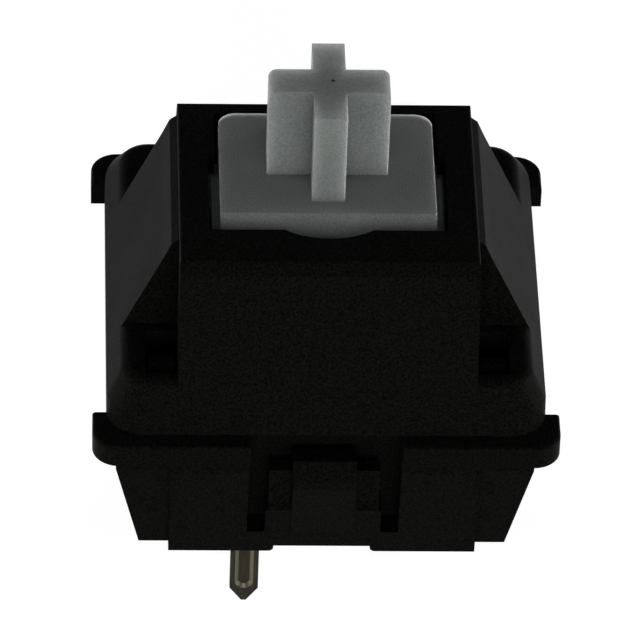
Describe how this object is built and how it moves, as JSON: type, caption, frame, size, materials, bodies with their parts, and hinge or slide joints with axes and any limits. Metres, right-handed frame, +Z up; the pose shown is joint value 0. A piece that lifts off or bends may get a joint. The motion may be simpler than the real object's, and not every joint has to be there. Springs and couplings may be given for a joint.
{
  "type": "mechanical keyboard switch",
  "caption": "Plate-mounted mechanical keyboard switch with a sprung cross-shaped stem, a two-part clipped housing, solder pins and a centre post.",
  "frame": {"origin": "centre of the locating post, on the face of the circuit board that the feet stand on", "axes": "+Z up towards the keycap, +X to the right seen from the contact side, -Y towards the contact side"},
  "size_m": [0.0156, 0.0156, 0.0185],
  "materials": {
    "housing_nylon": "fine spark-eroded texture",
    "stem_acetal": "satin, slightly translucent",
    "spring_steel": "bright drawn wire",
    "plated_bronze": "stamped and tin plated",
    "gold_alloy": "polished"
  },
  "bodies": {
    "housing": {"lower_housing": "housing_nylon", "upper_housing": "housing_nylon", "leaf_terminal": "plated_bronze", "fixed_terminal": "plated_bronze", "fixed_crosspoint": "gold_alloy", "return_spring": "spring_steel"},
    "slider": {"slider": "stem_acetal"},
    "contact_leaf": {"contact_leaf": "plated_bronze", "moving_crosspoint": "gold_alloy"}
  },
  "joints": [
    {"name": "slider_travel", "type": "slide", "parent": "housing", "child": "slider", "axis": [0, 0, -1], "range_m": [0, 0.004], "stiffness_N_per_m": 150, "springref_m": -0.0033, "deforming": ["return_spring"]},
    {"name": "leaf_flex", "type": "hinge", "parent": "housing", "child": "contact_leaf", "pos_m": [0, -0.00492, 0.0022], "axis": [-1, 0, 0], "range_deg": [0, 4]}
  ],
  "couplings": [
    {"joint": "leaf_flex", "follows": "slider_travel", "rad_per_m": 15.69}
  ]
}
